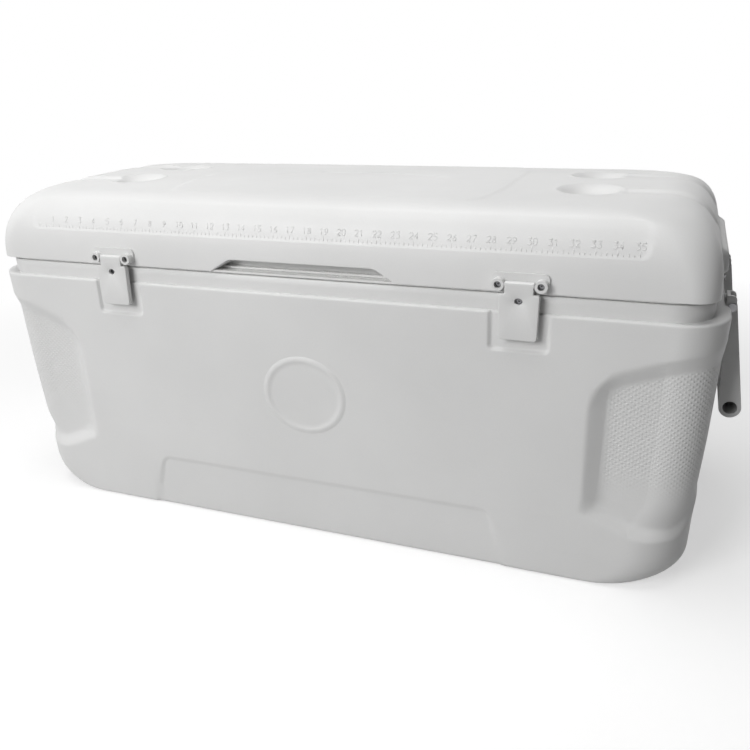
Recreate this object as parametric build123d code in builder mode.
from build123d import *
import os
from math import asin, atan, degrees

# A large insulated chest with a hinged lid, two front latches and a swing-up
# handle on each end. X runs along the length, -Y is the front, +Z is up and the
# origin is the middle of the face that the chest stands on. Millimetres.

os.makedirs("parts", exist_ok=True)

# --- driving dimensions -------------------------------------------------------

# tub
body_length = 1098.0      # over the ledge
body_depth = 464.0
ledge_height = 387.0      # top of the ledge that runs round under the lid
rim_height = 27.0         # the rim that stands on the ledge, where the lid sits
corner_radius = 60.0      # vertical corners in plan
end_draft = 14.0          # how much each end draws in from ledge to floor
front_draft = 8.0         # the same for the front and the back
foot_radius = 70.0        # round lower edge of each end
foot_edge_radius = 16.0   # round where the walls meet the floor
rim_end_step = 13.0       # ledge width on the ends
rim_front_step = 6.0      # ledge width on the front and the back
skin = 3.0                # moulded outer wall
bond_gap = 0.3            # foam to skin

# liner
wall_thickness = 38.0     # rim face to cavity
floor_thickness = 38.0
liner_skin = 3.0
liner_draft = 10.0
liner_corner_radius = 38.0
liner_floor_radius = 18.0
flange_thickness = 3.0

# sculpted areas of the tub
recess_depth = 9.0        # grip recess that wraps each end
recess_reach = 150.0      # its upright edge from the tub's end
recess_bend_reach = 51.0  # where its top edge bends, from the tub's end
recess_low = 80.0
recess_low_inner = 112.0
recess_inner_drop = 81.0  # its top edge below the ledge, at the upright edge
recess_bend_drop = 44.0
recess_end_drop = 31.0
recess_corner_radius = 24.0
panel_margin = 249.0      # low front panel, from the tub's ends
panel_side_lean = 28.0
panel_height = 93.0
panel_depth = 2.5
panel_corner_radius = 14.0

# lid
lid_end_step = 10.0       # the lid's ends lie this far inside the ledge
lid_front_step = 3.0
lid_height = 106.0
lid_corner_radius = 66.0
lid_round = 58.0          # round of the top edge
crown_radius = 3200.0     # the top is very slightly arched front to back
seam_gap = 0.4
lid_plug_drop = 12.0      # lid liner reaches this far into the cavity
lid_plug_gap = 4.0
cup_margin = 173.0        # middle of a cup seat from the lid's end
cup_gap = 42.0            # between the front and the back seat
cup_radius = 49.0
cup_depth = 12.0
groove_width = 26.0       # drain groove from each cup over the lid's end
groove_depth = 4.0
groove_drop = 44.0        # the grooves' lowest point, below the top
pocket_half_width = 136.0  # finger pocket in the lid's lower front edge
pocket_top_half_width = 110.5
pocket_height = 16.0
pocket_depth = 14.0
lug_margin = 7.0          # raised pad on each end of the lid, past the handle's legs
lug_height = 50.0
lug_thickness = 8.0
lug_edge_radius = 6.0
lug_lift = 6.0

# hinges
hinge_margin = 169.0      # outer hinges from the tub's ends
hinge_width = 60.0
leaf_thickness = 2.5
knuckle_radius = 5.0
hinge_pin_radius = 2.4
pin_gap = 0.06            # running fit, radial
knuckle_gap = 0.4         # between neighbouring knuckles
hinge_axis_offset = 7.0   # behind the lid's back face
hinge_screw_half_spacing = 20.0
body_leaf_height = 19.0
lid_leaf_height = 26.0

# latches
latch_margin = 242.0      # middle of a latch from the tub's end
latch_screw_half_spacing = 27.0
latch_screw_rise = 10.0   # above the seam
boss_radius = 8.0
boss_length = 12.0
bracket_half_width = 36.0
bracket_corner_radius = 7.0
bracket_height = 22.0
bracket_thickness = 2.5
latch_barrel_radius = 4.5
latch_barrel_offset = 5.0  # in front of the bracket plate
latch_pin_radius = 2.0
boss_inner_face = 19.0
latch_pin_grip = 2.5      # length of pin held in each boss
flap_drop = 34.0          # its lower edge below the ledge
flap_top_width = 52.0
flap_bottom_width = 49.0
flap_thickness = 3.0
flap_shoulder_drop = 11.0
flap_skirt_thickness = 2.5
flap_skirt_depth = 4.5
flap_skirt_drop = 15.0
flap_lip_depth = 1.0
flap_hole_radius = 2.8
flap_hole_drop = 20.0     # below the screws
latch_recess_half_width = 40.0
latch_recess_drop = 53.0  # its lower edge below the ledge
latch_recess_depth = 4.0
latch_recess_radius = 8.0
catch_half_width = 12.0
catch_height = 14.0
catch_gap = 0.5

# handles
handle_pivot_drop = 4.0   # below the ledge
handle_pivot_offset = 7.5  # outside the ledge
handle_leg_margin = 121.0  # middle of each leg from the tub's front or back
handle_leg_thickness = 17.4
handle_knuckle_radius = 6.5
grip_radius = 14.0
grip_bore_radius = 9.0
grip_drop = 139.0
grip_lean = 14.5          # grip stands this much further out than the pivot
handle_pin_radius = 3.5
handle_pin_head_radius = 5.5
handle_pin_head = 2.0
cheek_thickness = 5.0
cheek_gap = 0.3
cheek_outboard = 12.0
cheek_drop = 23.0         # below the ledge
cheek_rise = 11.0
bridge_depth = 4.0
bridge_height = 6.7
bracket_flange = 26.0
bracket_flange_thickness = 3.7
bracket_screw_low = 5.8
bracket_screw_spacing = 12.6

# drain
drain_margin = 299.0      # from the tub's left end
drain_bore_radius = 10.0
drain_tube_radius = 15.0
drain_hole_gap = 0.3
drain_flange_radius = 23.0
drain_flange_thickness = 3.0
drain_neck = 13.0
drain_nut_radius = 23.0
drain_nut_thickness = 6.0
drain_gasket_thickness = 2.0
drain_cap_gap = 0.5
drain_cap_wall = 3.0
drain_cap_ribs = 24
drain_cap_rib_radius = 0.9

# screws
screw_radius = 2.0
screw_head_radius = 4.2
screw_head = 2.2
screw_length = 12.0
screw_gap = 0.05          # shank to pilot hole, radial
screw_recess_radius = 1.6
screw_recess_depth = 1.2

# --- values that follow -------------------------------------------------------

seam_height = ledge_height + rim_height
total_height = seam_height + lid_height
lid_length = body_length - 2 * lid_end_step
lid_depth = body_depth - 2 * lid_front_step
rim_length = body_length - 2 * rim_end_step
rim_depth = body_depth - 2 * rim_front_step
rim_radius = corner_radius - rim_front_step
rim_top = seam_height - flange_thickness
lid_floor = seam_height + seam_gap
rim_back = rim_depth / 2
body_end = body_length / 2
body_back = body_depth / 2
lid_back = lid_depth / 2
lid_end = lid_length / 2
recess_inner = body_end - recess_reach
recess_bend = body_end - recess_bend_reach
recess_high_inner = ledge_height - recess_inner_drop
recess_high_bend = ledge_height - recess_bend_drop
recess_high = ledge_height - recess_end_drop
panel_half_width = body_end - panel_margin
panel_top_half_width = panel_half_width - panel_side_lean
cup_x = lid_end - cup_margin
cup_y = cup_radius + cup_gap / 2
groove_end_height = total_height - groove_drop
cavity_length = rim_length - 2 * wall_thickness
cavity_depth = rim_depth - 2 * wall_thickness
hinge_axis_y = lid_back + hinge_axis_offset
drain_height = floor_thickness + liner_floor_radius + drain_nut_radius + drain_cap_gap
drain_x = drain_margin - body_end
hinge_places = (hinge_margin - body_end, 0.0, body_end - hinge_margin)
hinge_names = ("left", "middle", "right")
latch_x = body_end - latch_margin
latch_screw_height = seam_height + latch_screw_rise
latch_recess_bottom = ledge_height - latch_recess_drop
flap_bottom = ledge_height - flap_drop
flap_hole_height = latch_screw_height - flap_hole_drop
bracket_face = lid_back + bracket_thickness
latch_axis_y = -(bracket_face + latch_barrel_offset)
flap_face = latch_axis_y - latch_barrel_radius
catch_nose = flap_face + flap_thickness + catch_gap
catch_middle = flap_hole_height - catch_gap
handle_pivot_x = body_end + handle_pivot_offset
handle_pivot_height = ledge_height - handle_pivot_drop
handle_leg_y = body_back - handle_leg_margin
lug_half_width = handle_leg_y + lug_margin
cheek_low = ledge_height - cheek_drop
cheek_high = ledge_height + cheek_rise
grip_x = handle_pivot_x + grip_lean
grip_z = handle_pivot_height - grip_drop
cheek_inner = handle_leg_thickness / 2 + cheek_gap
cheek_outer = cheek_inner + cheek_thickness
end_seat = body_end + bond_gap
sides = (("left", -1), ("right", 1))


def body_half_length(z):
    """Half the tub's length at height z."""
    return body_end - end_draft * (1 - z / ledge_height)


def body_half_depth(z):
    """Half the tub's depth at height z."""
    return body_back - front_draft * (1 - z / ledge_height)


# --- tub ----------------------------------------------------------------------


def drafted_side(half_width, inset):
    """Corners of the tub's outline seen from one side, drawn in by inset."""
    low, high = inset, ledge_height - inset
    low_half, high_half = half_width(low) - inset, half_width(high) - inset
    return (-low_half, low), (low_half, low), (high_half, high), (-high_half, high)


def tub_block(inset):
    """The tub's drafted walls and rounded foot up to the ledge, drawn in by inset all round."""
    from_front = drafted_side(body_half_length, inset)
    from_end = drafted_side(body_half_depth, inset)
    with BuildPart() as solid:
        with BuildSketch(Plane.XZ):
            Polygon(*from_front, align=None)
        extrude(amount=body_depth, both=True)
        with BuildSketch(Plane.YZ):
            Polygon(*from_end, align=None)
        extrude(amount=body_length, both=True, mode=Mode.INTERSECT)
        corners = solid.edges().filter_by(lambda edge: edge.bounding_box().size.Z > foot_radius)
        fillet(corners, corner_radius - inset)
        with BuildSketch(Plane.XZ) as foot:
            Polygon(*from_front, align=None)
            fillet(foot.vertices().group_by(Axis.Y)[0], foot_radius - inset)
        extrude(amount=body_depth, both=True, mode=Mode.INTERSECT)
        with BuildSketch(Plane.YZ) as foot_edge:
            Polygon(*from_end, align=None)
            fillet(foot_edge.vertices().group_by(Axis.Y)[0], foot_edge_radius - inset)
        extrude(amount=body_length, both=True, mode=Mode.INTERSECT)
    return solid.part


def rim_block(inset, top):
    """The upright rim above the ledge, rooted a little below it."""
    root = ledge_height - inset - skin
    with BuildPart() as solid:
        with BuildSketch(Plane.XY.offset(root)):
            RectangleRounded(rim_length - 2 * inset, rim_depth - 2 * inset, rim_radius - inset)
        extrude(amount=top - root)
    return solid.part


def end_recess(inset):
    """Tool for the recess that wraps both ends."""
    floor = tub_block(inset + recess_depth)
    with BuildPart() as tool:
        with BuildSketch(Plane.XZ) as outline:
            with BuildLine():
                Polyline(
                    (recess_inner, recess_low_inner),
                    (recess_inner, recess_high_inner),
                    (recess_bend, recess_high_bend),
                    (body_end, recess_high),
                    (body_length, recess_high),
                    (body_length, recess_low),
                    (recess_bend - recess_corner_radius, recess_low),
                    close=True,
                )
            make_face()
            fillet(outline.vertices().group_by(Axis.X)[0], recess_corner_radius)
            if inset:
                offset(amount=inset)
            mirror(about=Plane.YZ)
        extrude(amount=body_depth, both=True)
        add(floor, mode=Mode.SUBTRACT)
    return tool.part


def between_walls(inset):
    """The space between the drafted front and back walls, drawn in by inset, open above and below."""
    low, high = -panel_height, seam_height
    low_half, high_half = body_half_depth(low) - inset, body_half_depth(high) - inset
    with BuildPart() as solid:
        with BuildSketch(Plane.YZ):
            Polygon((-low_half, low), (low_half, low), (high_half, high), (-high_half, high), align=None)
        extrude(amount=body_length, both=True)
    return solid.part


def front_panel(inset):
    """Tool for the shallow panel low on the front, open at the bottom."""
    floor = between_walls(inset + panel_depth)
    with BuildPart() as tool:
        with BuildSketch(Plane.XZ) as outline:
            with BuildLine():
                Polyline(
                    (-panel_half_width, -panel_height),
                    (-panel_half_width, 0),
                    (-panel_top_half_width, panel_height),
                    (panel_top_half_width, panel_height),
                    (panel_half_width, 0),
                    (panel_half_width, -panel_height),
                    close=True,
                )
            make_face()
            fillet(outline.vertices().group_by(Axis.Y)[-1], panel_corner_radius)
            if inset:
                offset(amount=inset)
        extrude(amount=body_depth)
        add(floor, mode=Mode.SUBTRACT)
    return tool.part


def latch_recess(inset):
    """Tool for the shallow pockets that the latch flaps lie in."""
    floor = between_walls(inset + latch_recess_depth)
    height = ledge_height - latch_recess_bottom
    with BuildPart() as tool:
        with BuildSketch(Plane.XZ):
            for x in (-latch_x, latch_x):
                with Locations((x, latch_recess_bottom + height)):
                    RectangleRounded(2 * latch_recess_half_width, 2 * height, latch_recess_radius)
            if inset:
                offset(amount=inset)
        extrude(amount=body_depth)
        add(floor, mode=Mode.SUBTRACT)
    return tool.part


def tub_form(inset, top):
    """The tub's outer form with its sculpted areas, drawn in by inset."""
    block = tub_block(inset)
    rim = rim_block(inset, top)
    tools = (end_recess(inset), front_panel(inset), latch_recess(inset))
    with BuildPart() as solid:
        add(block)
        for tool in tools:
            add(tool, mode=Mode.SUBTRACT)
        add(rim)
    return solid.part


def cavity_block(grow, top):
    """The tapered cavity, grown by grow all round, up to top."""
    drop = rim_top - floor_thickness
    size = (cavity_length + 2 * grow, cavity_depth + 2 * grow, liner_corner_radius + grow)
    with BuildPart() as solid:
        with BuildSketch(Plane.XY.offset(rim_top)):
            RectangleRounded(*size)
        extrude(amount=-drop - grow, taper=degrees(atan(liner_draft / drop)))
        fillet(solid.faces().sort_by(Axis.Z)[0].edges(), liner_floor_radius + grow)
        with BuildSketch(Plane.XY.offset(rim_top)):
            RectangleRounded(*size)
        extrude(amount=top - rim_top)
    return solid.part


def rod(start, direction, radius, length):
    """A plain round bar from start along direction."""
    with BuildPart() as solid:
        with BuildSketch(Plane(origin=start, z_dir=direction)):
            Circle(radius)
        extrude(amount=length)
    return solid.part


# places of every screw: the face that its head sits on, and the way it goes in

back = Vector(0, -1, 0)
front = Vector(0, 1, 0)
body_hinge_screw_z = ledge_height + screw_head_radius + 2 * seam_gap
lid_hinge_screw_z = lid_floor + 2 * knuckle_radius + lid_leaf_height / 2
hinge_screw_x = [x + s * hinge_screw_half_spacing for x in hinge_places for s in (-1, 1)]
body_hinge_screws = [((x, rim_back + leaf_thickness, body_hinge_screw_z), back) for x in hinge_screw_x]
lid_hinge_screws = [((x, lid_back + leaf_thickness, lid_hinge_screw_z), back) for x in hinge_screw_x]
boss_floor = -(lid_back + bracket_thickness + screw_head)
latch_screws = [
    ((x + s * latch_screw_half_spacing, boss_floor, latch_screw_height), front)
    for x in (-latch_x, latch_x)
    for s in (-1, 1)
]
catch_floor = catch_nose + screw_head + catch_gap
catch_screws = [((x, catch_floor, catch_middle), front) for x in (-latch_x, latch_x)]
bracket_screw_y = handle_leg_y - cheek_outer - bracket_flange / 2
bracket_screws = {
    side: [
        (
            (
                side * (end_seat + bracket_flange_thickness),
                y * bracket_screw_y,
                cheek_low + bracket_screw_low + k * bracket_screw_spacing,
            ),
            Vector(-side, 0, 0),
        )
        for y in (-1, 1)
        for k in (0, 1)
    ]
    for _, side in sides
}
tub_screws = body_hinge_screws + catch_screws + bracket_screws[-1] + bracket_screws[1]
lid_screws = lid_hinge_screws + latch_screws


def pilots(screws, gap):
    """The holes that the screws go into, reaching past their tips."""
    return [rod(place, way, screw_radius + gap, screw_length + gap) for place, way in screws]


def drain_rod(radius, low_y, high_y):
    """A bar on the drain's axis, between two distances from the chest's middle plane."""
    return rod((drain_x, low_y, drain_height), front, radius, high_y - low_y)


drain_wall_y = body_half_depth(drain_height + drain_flange_radius)
drain_hole = drain_rod(drain_tube_radius + drain_hole_gap, 0, body_depth)
tub_outer = tub_form(0, rim_top)
tub_hollow = tub_form(skin, seam_height)
with BuildPart() as body_shell:
    add(tub_outer)
    add(tub_hollow, mode=Mode.SUBTRACT)
    add(pilots(tub_screws, screw_gap), mode=Mode.SUBTRACT)
    add(drain_hole, mode=Mode.SUBTRACT)
body_shell.part.label = "body_shell"
export_step(body_shell.part, "parts/body_shell.step")

cavity = cavity_block(0, seam_height + corner_radius)
liner_outside = cavity_block(liner_skin, seam_height)
with BuildPart() as body_liner:
    add(liner_outside)
    with BuildSketch(Plane.XY.offset(rim_top)):
        RectangleRounded(rim_length, rim_depth, rim_radius)
    extrude(amount=flange_thickness)
    add(cavity, mode=Mode.SUBTRACT)
    add(drain_hole, mode=Mode.SUBTRACT)
body_liner.part.label = "body_liner"
export_step(body_liner.part, "parts/body_liner.step")

foam_outside = tub_form(skin + bond_gap, rim_top - bond_gap)
foam_inside = cavity_block(liner_skin + bond_gap, seam_height)
with BuildPart() as body_foam:
    add(foam_outside)
    add(foam_inside, mode=Mode.SUBTRACT)
    add(pilots(tub_screws, bond_gap), mode=Mode.SUBTRACT)
    add(drain_hole, mode=Mode.SUBTRACT)
body_foam.part.label = "body_foam"
export_step(body_foam.part, "parts/body_foam.step")

# --- lid ----------------------------------------------------------------------


def lid_block(inset, floor):
    """The lid's rounded, slightly arched outer form, drawn in by inset."""
    radius = crown_radius - inset
    spread = degrees(asin(lid_depth / radius))
    with BuildPart() as solid:
        with BuildSketch(Plane.XY.offset(floor)):
            RectangleRounded(lid_length - 2 * inset, lid_depth - 2 * inset, lid_corner_radius - inset)
        extrude(amount=total_height - floor)
        with BuildSketch(Plane.YZ):
            with BuildLine():
                arch = CenterArc((0, total_height - crown_radius), radius, 90 - spread, 2 * spread)
                Polyline(arch @ 1, (-lid_depth, floor - skin), (lid_depth, floor - skin), arch @ 0)
            make_face()
        extrude(amount=lid_length, both=True, mode=Mode.INTERSECT)
        fillet(solid.faces().sort_by(Axis.Z)[-1].edges(), lid_round - inset)
    return solid.part


def lid_sinks(inset, floor):
    """Tools for the cup seats, their drain grooves and the finger pocket."""
    groove_floor = lid_block(inset + groove_depth, floor - groove_depth)
    cup_places = [(x, y) for x in (-cup_x, cup_x) for y in (-cup_y, cup_y)]
    with BuildPart() as cups:
        with BuildSketch(Plane.XY.offset(total_height - cup_depth - inset)):
            with Locations(*cup_places):
                Circle(cup_radius + inset)
        extrude(amount=2 * cup_depth)
    with BuildPart() as grooves:
        groove_run = lid_length - cup_x
        with BuildSketch(Plane.XY.offset(groove_end_height - inset)):
            with Locations(*[(x * (1 + groove_run / 2 / cup_x), y) for x, y in cup_places]):
                Rectangle(groove_run, groove_width + 2 * inset)
        extrude(amount=total_height - groove_end_height + 2 * cup_depth)
        add(groove_floor, mode=Mode.SUBTRACT)
    with BuildPart() as pocket:
        slope = (pocket_half_width - pocket_top_half_width) / pocket_height
        run_out = pocket_half_width + slope * pocket_height
        with BuildSketch(Plane.XZ.offset(lid_back - pocket_depth - inset)):
            with BuildLine():
                Polyline(
                    (-run_out, lid_floor - pocket_height),
                    (-pocket_top_half_width, lid_floor + pocket_height),
                    (pocket_top_half_width, lid_floor + pocket_height),
                    (run_out, lid_floor - pocket_height),
                    close=True,
                )
            make_face()
            if inset:
                offset(amount=inset)
        extrude(amount=lid_depth)
    return cups.part, grooves.part, pocket.part


def lid_form(inset, floor):
    """The lid's outer form with its sunk features, drawn in by inset."""
    block = lid_block(inset, floor)
    tools = lid_sinks(inset, floor)
    with BuildPart() as solid:
        add(block)
        for tool in tools:
            add(tool, mode=Mode.SUBTRACT)
    return solid.part


def end_lug(side):
    """Raised pad on one end of the lid."""
    with BuildPart() as lug:
        with BuildSketch(Plane.YZ.offset(side * (lid_end - skin))):
            with Locations((0, lid_floor + lug_lift + lug_height / 2)):
                RectangleRounded(2 * lug_half_width, lug_height, lug_thickness)
        extrude(amount=side * (lug_thickness + skin))
        outer = lug.faces().sort_by(Axis.X)[-1 if side > 0 else 0]
        fillet(outer.edges(), lug_edge_radius)
    return lug.part


lid_outer = lid_form(0, lid_floor)
lid_hollow = lid_form(skin, lid_floor - skin)
lid_lugs = [end_lug(side) for _, side in sides]
lid_pilots = pilots(lid_screws, screw_gap)
with BuildPart() as lid_shell:
    add(lid_outer)
    add(lid_lugs)
    add(lid_hollow, mode=Mode.SUBTRACT)
    add(lid_pilots, mode=Mode.SUBTRACT)
lid_shell.part.label = "lid_shell"
export_step(lid_shell.part, "parts/lid_shell.step")

lid_inside = lid_form(skin + bond_gap, lid_floor)
plate_top = lid_floor + flange_thickness
plug_floor = lid_floor - lid_plug_drop
plug_length = cavity_length - 2 * lid_plug_gap
plug_depth = cavity_depth - 2 * lid_plug_gap
plug_radius = liner_corner_radius - lid_plug_gap


def plug(inset, low, high):
    """The raised field under the lid, drawn in by inset."""
    with BuildPart() as solid:
        with BuildSketch(Plane.XY.offset(low)):
            RectangleRounded(plug_length - 2 * inset, plug_depth - 2 * inset, plug_radius - inset)
        extrude(amount=high - low)
    return solid.part


plug_outside = plug(0, plug_floor, plate_top)
plug_hollow = plug(liner_skin, plug_floor + liner_skin, plate_top)
with BuildPart() as lid_liner:
    add(lid_inside)
    with BuildSketch(Plane.XY.offset(plate_top)):
        Rectangle(lid_length, lid_depth)
    extrude(amount=total_height, mode=Mode.SUBTRACT)
    add(plug_outside)
    add(plug_hollow, mode=Mode.SUBTRACT)
lid_liner.part.label = "lid_liner"
export_step(lid_liner.part, "parts/lid_liner.step")

foam_floor = plate_top + bond_gap
foam_plug = plug(liner_skin + bond_gap, plug_floor + liner_skin + bond_gap, foam_floor + bond_gap)
lid_foam_pilots = pilots(lid_screws, bond_gap)
with BuildPart() as lid_foam:
    add(lid_inside)
    with BuildSketch(Plane.XY.offset(foam_floor)):
        Rectangle(lid_length, lid_depth)
    extrude(amount=-total_height, mode=Mode.SUBTRACT)
    add(foam_plug)
    add(lid_foam_pilots, mode=Mode.SUBTRACT)
lid_foam.part.label = "lid_foam"
export_step(lid_foam.part, "parts/lid_foam.step")

# --- screws -------------------------------------------------------------------


def screw_set(screws, name):
    """One node of identical pan-head screws."""
    with BuildPart() as group:
        for place, way in screws:
            seat = Plane(origin=place, z_dir=way)
            with BuildSketch(seat):
                Circle(screw_radius)
            extrude(amount=screw_length)
            with BuildSketch(seat):
                Circle(screw_head_radius)
            extrude(amount=-screw_head)
            with BuildSketch(seat.offset(-screw_head)):
                Rectangle(2 * screw_recess_radius, screw_recess_radius / 2)
                Rectangle(screw_recess_radius / 2, 2 * screw_recess_radius)
            extrude(amount=screw_recess_depth, mode=Mode.SUBTRACT)
    group.part.label = name
    export_step(group.part, f"parts/{name}.step")


screw_set(body_hinge_screws, "hinge_screws_body")
screw_set(lid_hinge_screws, "hinge_screws_lid")
screw_set(latch_screws, "latch_screws")
screw_set(catch_screws, "catch_screws")
for name, side in sides:
    screw_set(bracket_screws[side], f"handle_bracket_screws_{name}")

# --- hinges -------------------------------------------------------------------

hinge_axis = (hinge_axis_y, seam_height)
knuckle_length = (hinge_width - 2 * knuckle_gap) / 3


def hinge_leaf(x, plate_y, low_z, height, screw_z, root_z, knuckles):
    """A leaf: flat plate, knuckles on the axis, and the webs that carry them."""
    with BuildPart() as leaf:
        with BuildSketch(Plane.YZ.offset(x - hinge_width / 2)):
            with Locations((plate_y + leaf_thickness / 2, low_z + height / 2)):
                Rectangle(leaf_thickness, height)
        extrude(amount=hinge_width)
        for start in knuckles:
            with BuildSketch(Plane.YZ.offset(x + start)):
                with Locations(hinge_axis):
                    Circle(knuckle_radius)
                with Locations((plate_y + leaf_thickness / 2, root_z)):
                    Circle(leaf_thickness / 2)
                make_hull()
            extrude(amount=knuckle_length)
        with BuildSketch(Plane.YZ.offset(x - hinge_width)):
            with Locations(hinge_axis):
                Circle(hinge_pin_radius + pin_gap)
        extrude(amount=2 * hinge_width, mode=Mode.SUBTRACT)
        for s in (-1, 1):
            place = (x + s * hinge_screw_half_spacing, plate_y - leaf_thickness, screw_z)
            with BuildSketch(Plane(origin=place, z_dir=front)):
                Circle(screw_radius + screw_gap)
            extrude(amount=3 * leaf_thickness, mode=Mode.SUBTRACT)
    return leaf.part


outer_knuckles = (-hinge_width / 2, hinge_width / 2 - knuckle_length)
middle_knuckle = (-knuckle_length / 2,)
for name, x in zip(hinge_names, hinge_places):
    low = ledge_height + bond_gap
    root = low + body_leaf_height - knuckle_radius
    body_leaf = hinge_leaf(x, rim_back, low, body_leaf_height, body_hinge_screw_z, root, outer_knuckles)
    body_leaf.label = f"hinge_body_leaf_{name}"
    export_step(body_leaf, f"parts/hinge_body_leaf_{name}.step")

    low = lid_hinge_screw_z - lid_leaf_height / 2
    lid_leaf = hinge_leaf(
        x, lid_back, low, lid_leaf_height, lid_hinge_screw_z, low + knuckle_radius, middle_knuckle
    )
    lid_leaf.label = f"hinge_lid_leaf_{name}"
    export_step(lid_leaf, f"parts/hinge_lid_leaf_{name}.step")

    with BuildPart() as hinge_pin:
        with BuildSketch(Plane.YZ.offset(x - hinge_width / 2 - knuckle_gap)):
            with Locations(hinge_axis):
                Circle(hinge_pin_radius)
        extrude(amount=hinge_width + 2 * knuckle_gap)
    hinge_pin.part.label = f"hinge_pin_{name}"
    export_step(hinge_pin.part, f"parts/hinge_pin_{name}.step")

# --- latches ------------------------------------------------------------------

latch_axis = (latch_axis_y, latch_screw_height)


def latch_bracket(x):
    """Plate on the lid with two bosses, which hold the screws and the hinge pin."""
    with BuildPart() as bracket:
        with BuildSketch(Plane.XZ.offset(lid_back)):
            with Locations((x, latch_screw_height + bracket_height / 2 - boss_radius)):
                RectangleRounded(2 * bracket_half_width, bracket_height, bracket_corner_radius)
            for s in (-1, 1):
                with Locations((x + s * latch_screw_half_spacing, latch_screw_height)):
                    Circle(boss_radius)
        extrude(amount=bracket_thickness)
        with BuildSketch(Plane.XZ.offset(lid_back)):
            for s in (-1, 1):
                with Locations((x + s * latch_screw_half_spacing, latch_screw_height)):
                    Circle(boss_radius)
        extrude(amount=boss_length)
        for s in (-1, 1):
            place = (x + s * latch_screw_half_spacing, boss_floor, latch_screw_height)
            with BuildSketch(Plane(origin=place, z_dir=front)):
                Circle(screw_head_radius + bond_gap)
            extrude(amount=-2 * boss_length, mode=Mode.SUBTRACT)
            with BuildSketch(Plane(origin=place, z_dir=front)):
                Circle(screw_radius + screw_gap)
            extrude(amount=2 * boss_length, mode=Mode.SUBTRACT)
        with BuildSketch(Plane.YZ.offset(x - boss_inner_face - latch_pin_grip)):
            with Locations(latch_axis):
                Circle(latch_pin_radius + pin_gap)
        extrude(amount=2 * (boss_inner_face + latch_pin_grip), mode=Mode.SUBTRACT)
    return bracket.part


def latch_flap(x):
    """Flap with its hinge barrel, side skirts, lower lip and round hole."""
    shoulder = latch_screw_height - flap_shoulder_drop
    skirt_top = latch_screw_height - flap_skirt_drop
    half_top, half_bottom = flap_top_width / 2, flap_bottom_width / 2
    barrel_half = boss_inner_face - cheek_gap
    inside = -(flap_face + flap_thickness)
    with BuildPart() as flap:
        with BuildSketch(Plane.XZ.offset(inside)) as face:
            with BuildLine():
                Polyline(
                    (x - half_bottom, flap_bottom),
                    (x - half_top, shoulder),
                    (x - barrel_half, shoulder),
                    (x - barrel_half, latch_screw_height),
                    (x + barrel_half, latch_screw_height),
                    (x + barrel_half, shoulder),
                    (x + half_top, shoulder),
                    (x + half_bottom, flap_bottom),
                    close=True,
                )
            make_face()
            fillet(face.vertices().group_by(Axis.Y)[0], flap_thickness)
        extrude(amount=flap_thickness)
        with BuildSketch(Plane.XZ.offset(inside - flap_skirt_depth)):
            for s in (-1, 1):
                with BuildLine():
                    Polyline(
                        (x + s * half_bottom, flap_bottom + flap_thickness),
                        (x + s * half_top, skirt_top),
                        (x + s * (half_top - flap_skirt_thickness), skirt_top),
                        (x + s * (half_bottom - flap_skirt_thickness), flap_bottom + flap_thickness),
                        close=True,
                    )
                make_face()
        extrude(amount=flap_skirt_depth)
        with BuildSketch(Plane.XZ.offset(inside - flap_lip_depth)):
            with Locations((x, flap_bottom + flap_thickness)):
                Rectangle(flap_bottom_width - 2 * flap_thickness, flap_thickness)
        extrude(amount=flap_lip_depth)
        with BuildSketch(Plane.YZ.offset(x - barrel_half)):
            with Locations(latch_axis):
                Circle(latch_barrel_radius)
        extrude(amount=2 * barrel_half)
        with BuildSketch(Plane.YZ.offset(x - barrel_half)):
            with Locations(latch_axis):
                Circle(latch_pin_radius + pin_gap)
        extrude(amount=2 * barrel_half, mode=Mode.SUBTRACT)
        with BuildSketch(Plane.XZ.offset(inside)):
            with Locations((x, flap_hole_height)):
                Circle(flap_hole_radius)
        extrude(amount=flap_thickness, mode=Mode.SUBTRACT)
    return flap.part


def latch_catch(x):
    """Block on the rim that the flap closes against."""
    with BuildPart() as catch:
        with BuildSketch(Plane.XZ.offset(rim_back)):
            with Locations((x, catch_middle)):
                RectangleRounded(2 * catch_half_width, catch_height, flap_thickness)
        extrude(amount=-catch_nose - rim_back)
        nose = catch.faces().sort_by(Axis.Y)[0]
        fillet(nose.edges(), flap_thickness / 2)
        place = (x, catch_floor, catch_middle)
        with BuildSketch(Plane(origin=place, z_dir=front)):
            Circle(screw_head_radius + bond_gap)
        extrude(amount=-boss_length, mode=Mode.SUBTRACT)
        with BuildSketch(Plane(origin=place, z_dir=front)):
            Circle(screw_radius + screw_gap)
        extrude(amount=boss_length, mode=Mode.SUBTRACT)
    return catch.part


for name, side in sides:
    x = side * latch_x
    for kind, piece in (("bracket", latch_bracket(x)), ("flap", latch_flap(x)), ("catch", latch_catch(x))):
        piece.label = f"latch_{kind}_{name}"
        export_step(piece, f"parts/latch_{kind}_{name}.step")
    reach = boss_inner_face + latch_pin_grip - pin_gap
    latch_pin = rod((x - reach, latch_axis_y, latch_screw_height), (1, 0, 0), latch_pin_radius, 2 * reach)
    latch_pin.label = f"latch_pin_{name}"
    export_step(latch_pin, f"parts/latch_pin_{name}.step")

# --- handles ------------------------------------------------------------------


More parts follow.
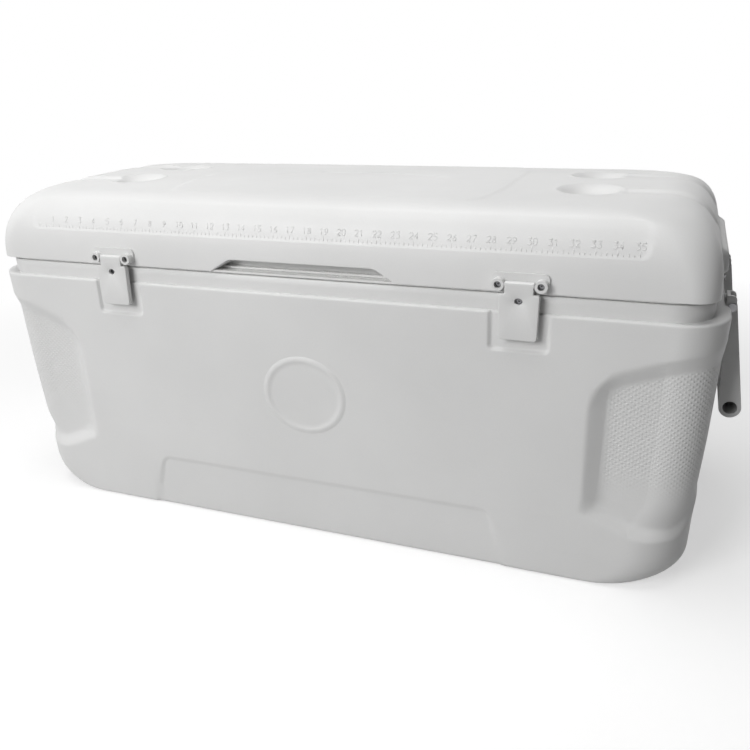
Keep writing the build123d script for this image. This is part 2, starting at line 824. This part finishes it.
def handle(side):
    """Two legs and the hollow grip between them."""
    pivot = (side * handle_pivot_x, handle_pivot_height)
    grip = (side * grip_x, grip_z)
    reach = handle_leg_y + handle_leg_thickness / 2
    with BuildPart() as bail:
        for y in (-handle_leg_y, handle_leg_y):
            with BuildSketch(Plane.XZ.offset(-y - handle_leg_thickness / 2)):
                with Locations(pivot):
                    Circle(handle_knuckle_radius)
                with Locations(grip):
                    Circle(grip_radius)
                make_hull()
            extrude(amount=handle_leg_thickness)
        with BuildSketch(Plane.XZ.offset(-reach)):
            with Locations(grip):
                Circle(grip_radius)
        extrude(amount=2 * reach)
        with BuildSketch(Plane.XZ.offset(-reach)):
            with Locations(grip):
                Circle(grip_bore_radius)
            with Locations(pivot):
                Circle(handle_pin_radius + pin_gap)
        extrude(amount=2 * reach, mode=Mode.SUBTRACT)
    return bail.part


def handle_bracket(side, end):
    """Clevis on the end of the tub: two cheeks, a bridge over them and a screw flange."""
    middle_y = end * handle_leg_y
    flange_y = end * (handle_leg_y - cheek_outer - bracket_flange / 2)
    seat = side * end_seat
    height = cheek_high - cheek_low
    with BuildPart() as bracket:
        for s in (-1, 1):
            with BuildSketch(Plane.YZ.offset(seat)):
                with Locations((middle_y + s * (cheek_inner + cheek_outer) / 2, (cheek_low + cheek_high) / 2)):
                    Rectangle(cheek_thickness, height)
            extrude(amount=side * cheek_outboard)
        upright = bracket.edges().filter_by(Axis.Y)
        rim = upright.group_by(Axis.X)[-1 if side > 0 else 0]
        fillet(rim, cheek_outboard / 2)
        with BuildSketch(Plane.YZ.offset(seat)):
            with Locations((middle_y, cheek_high - bridge_height / 2)):
                Rectangle(2 * cheek_outer, bridge_height)
        extrude(amount=side * bridge_depth)
        with BuildSketch(Plane.YZ.offset(seat)):
            with Locations((flange_y, (cheek_low + ledge_height) / 2)):
                Rectangle(bracket_flange, ledge_height - cheek_low)
        extrude(amount=side * bracket_flange_thickness)
        with BuildSketch(Plane.XZ.offset(-middle_y - 2 * cheek_outer)):
            with Locations((side * handle_pivot_x, handle_pivot_height)):
                Circle(handle_pin_radius + pin_gap)
        extrude(amount=4 * cheek_outer, mode=Mode.SUBTRACT)
        for place, way in bracket_screws[side]:
            if place[1] * end > 0:
                with BuildSketch(Plane(origin=place, z_dir=way)):
                    Circle(screw_radius + screw_gap)
                extrude(amount=2 * bracket_flange_thickness, mode=Mode.SUBTRACT)
    return bracket.part


def handle_pins(side, name):
    """The two headed pins that the handle swings on."""
    with BuildPart() as pins:
        for end in (-1, 1):
            tip = (side * handle_pivot_x, end * (handle_leg_y - cheek_outer), handle_pivot_height)
            outward = Plane(origin=tip, z_dir=(0, end, 0))
            with BuildSketch(outward):
                Circle(handle_pin_radius)
            extrude(amount=2 * cheek_outer)
            with BuildSketch(outward.offset(2 * cheek_outer)):
                Circle(handle_pin_head_radius)
            extrude(amount=handle_pin_head)
    pins.part.label = name
    export_step(pins.part, f"parts/{name}.step")


for name, side in sides:
    bail = handle(side)
    bail.label = f"handle_{name}"
    export_step(bail, f"parts/handle_{name}.step")
    for place, end in (("front", -1), ("back", 1)):
        clevis = handle_bracket(side, end)
        clevis.label = f"handle_bracket_{name}_{place}"
        export_step(clevis, f"parts/handle_bracket_{name}_{place}.step")
    handle_pins(side, f"handle_pins_{name}")

# --- drain --------------------------------------------------------------------

cavity_back = cavity_depth / 2 - liner_draft * (rim_top - drain_height) / (rim_top - floor_thickness)
nut_seat = cavity_back - drain_gasket_thickness
spout_end = drain_wall_y + drain_flange_thickness + drain_neck
spout_rods = (
    drain_rod(drain_tube_radius, nut_seat - drain_nut_thickness, spout_end),
    drain_rod(drain_flange_radius, drain_wall_y, drain_wall_y + drain_flange_thickness),
)
drain_bore = drain_rod(drain_bore_radius, 0, body_depth)
with BuildPart() as drain_spout:
    add(spout_rods)
    add(drain_bore, mode=Mode.SUBTRACT)
drain_spout.part.label = "drain_spout"
export_step(drain_spout.part, "parts/drain_spout.step")

with BuildPart() as drain_nut:
    with BuildSketch(Plane(origin=(drain_x, nut_seat, drain_height), z_dir=back)):
        RegularPolygon(drain_nut_radius, 8)
        Circle(drain_tube_radius + drain_hole_gap, mode=Mode.SUBTRACT)
    extrude(amount=drain_nut_thickness)
drain_nut.part.label = "drain_nut"
export_step(drain_nut.part, "parts/drain_nut.step")

with BuildPart() as drain_gasket:
    with BuildSketch(Plane(origin=(drain_x, nut_seat, drain_height), z_dir=front)):
        Circle(drain_nut_radius)
        Circle(drain_tube_radius + drain_hole_gap, mode=Mode.SUBTRACT)
    extrude(amount=drain_gasket_thickness - 2 * bond_gap)
drain_gasket.part.label = "drain_gasket"
export_step(drain_gasket.part, "parts/drain_gasket.step")

cap_radius = drain_tube_radius + drain_cap_gap + drain_cap_wall
with BuildPart() as drain_cap:
    cap_seat = Plane(
        origin=(drain_x, drain_wall_y + drain_flange_thickness + drain_cap_gap, drain_height), z_dir=front
    )
    with BuildSketch(cap_seat):
        Circle(cap_radius)
        with PolarLocations(cap_radius, drain_cap_ribs):
            Circle(drain_cap_rib_radius)
    extrude(amount=drain_neck + drain_cap_wall)
    with BuildSketch(cap_seat):
        Circle(drain_tube_radius + drain_cap_gap)
    extrude(amount=drain_neck, mode=Mode.SUBTRACT)
drain_cap.part.label = "drain_cap"
export_step(drain_cap.part, "parts/drain_cap.step")
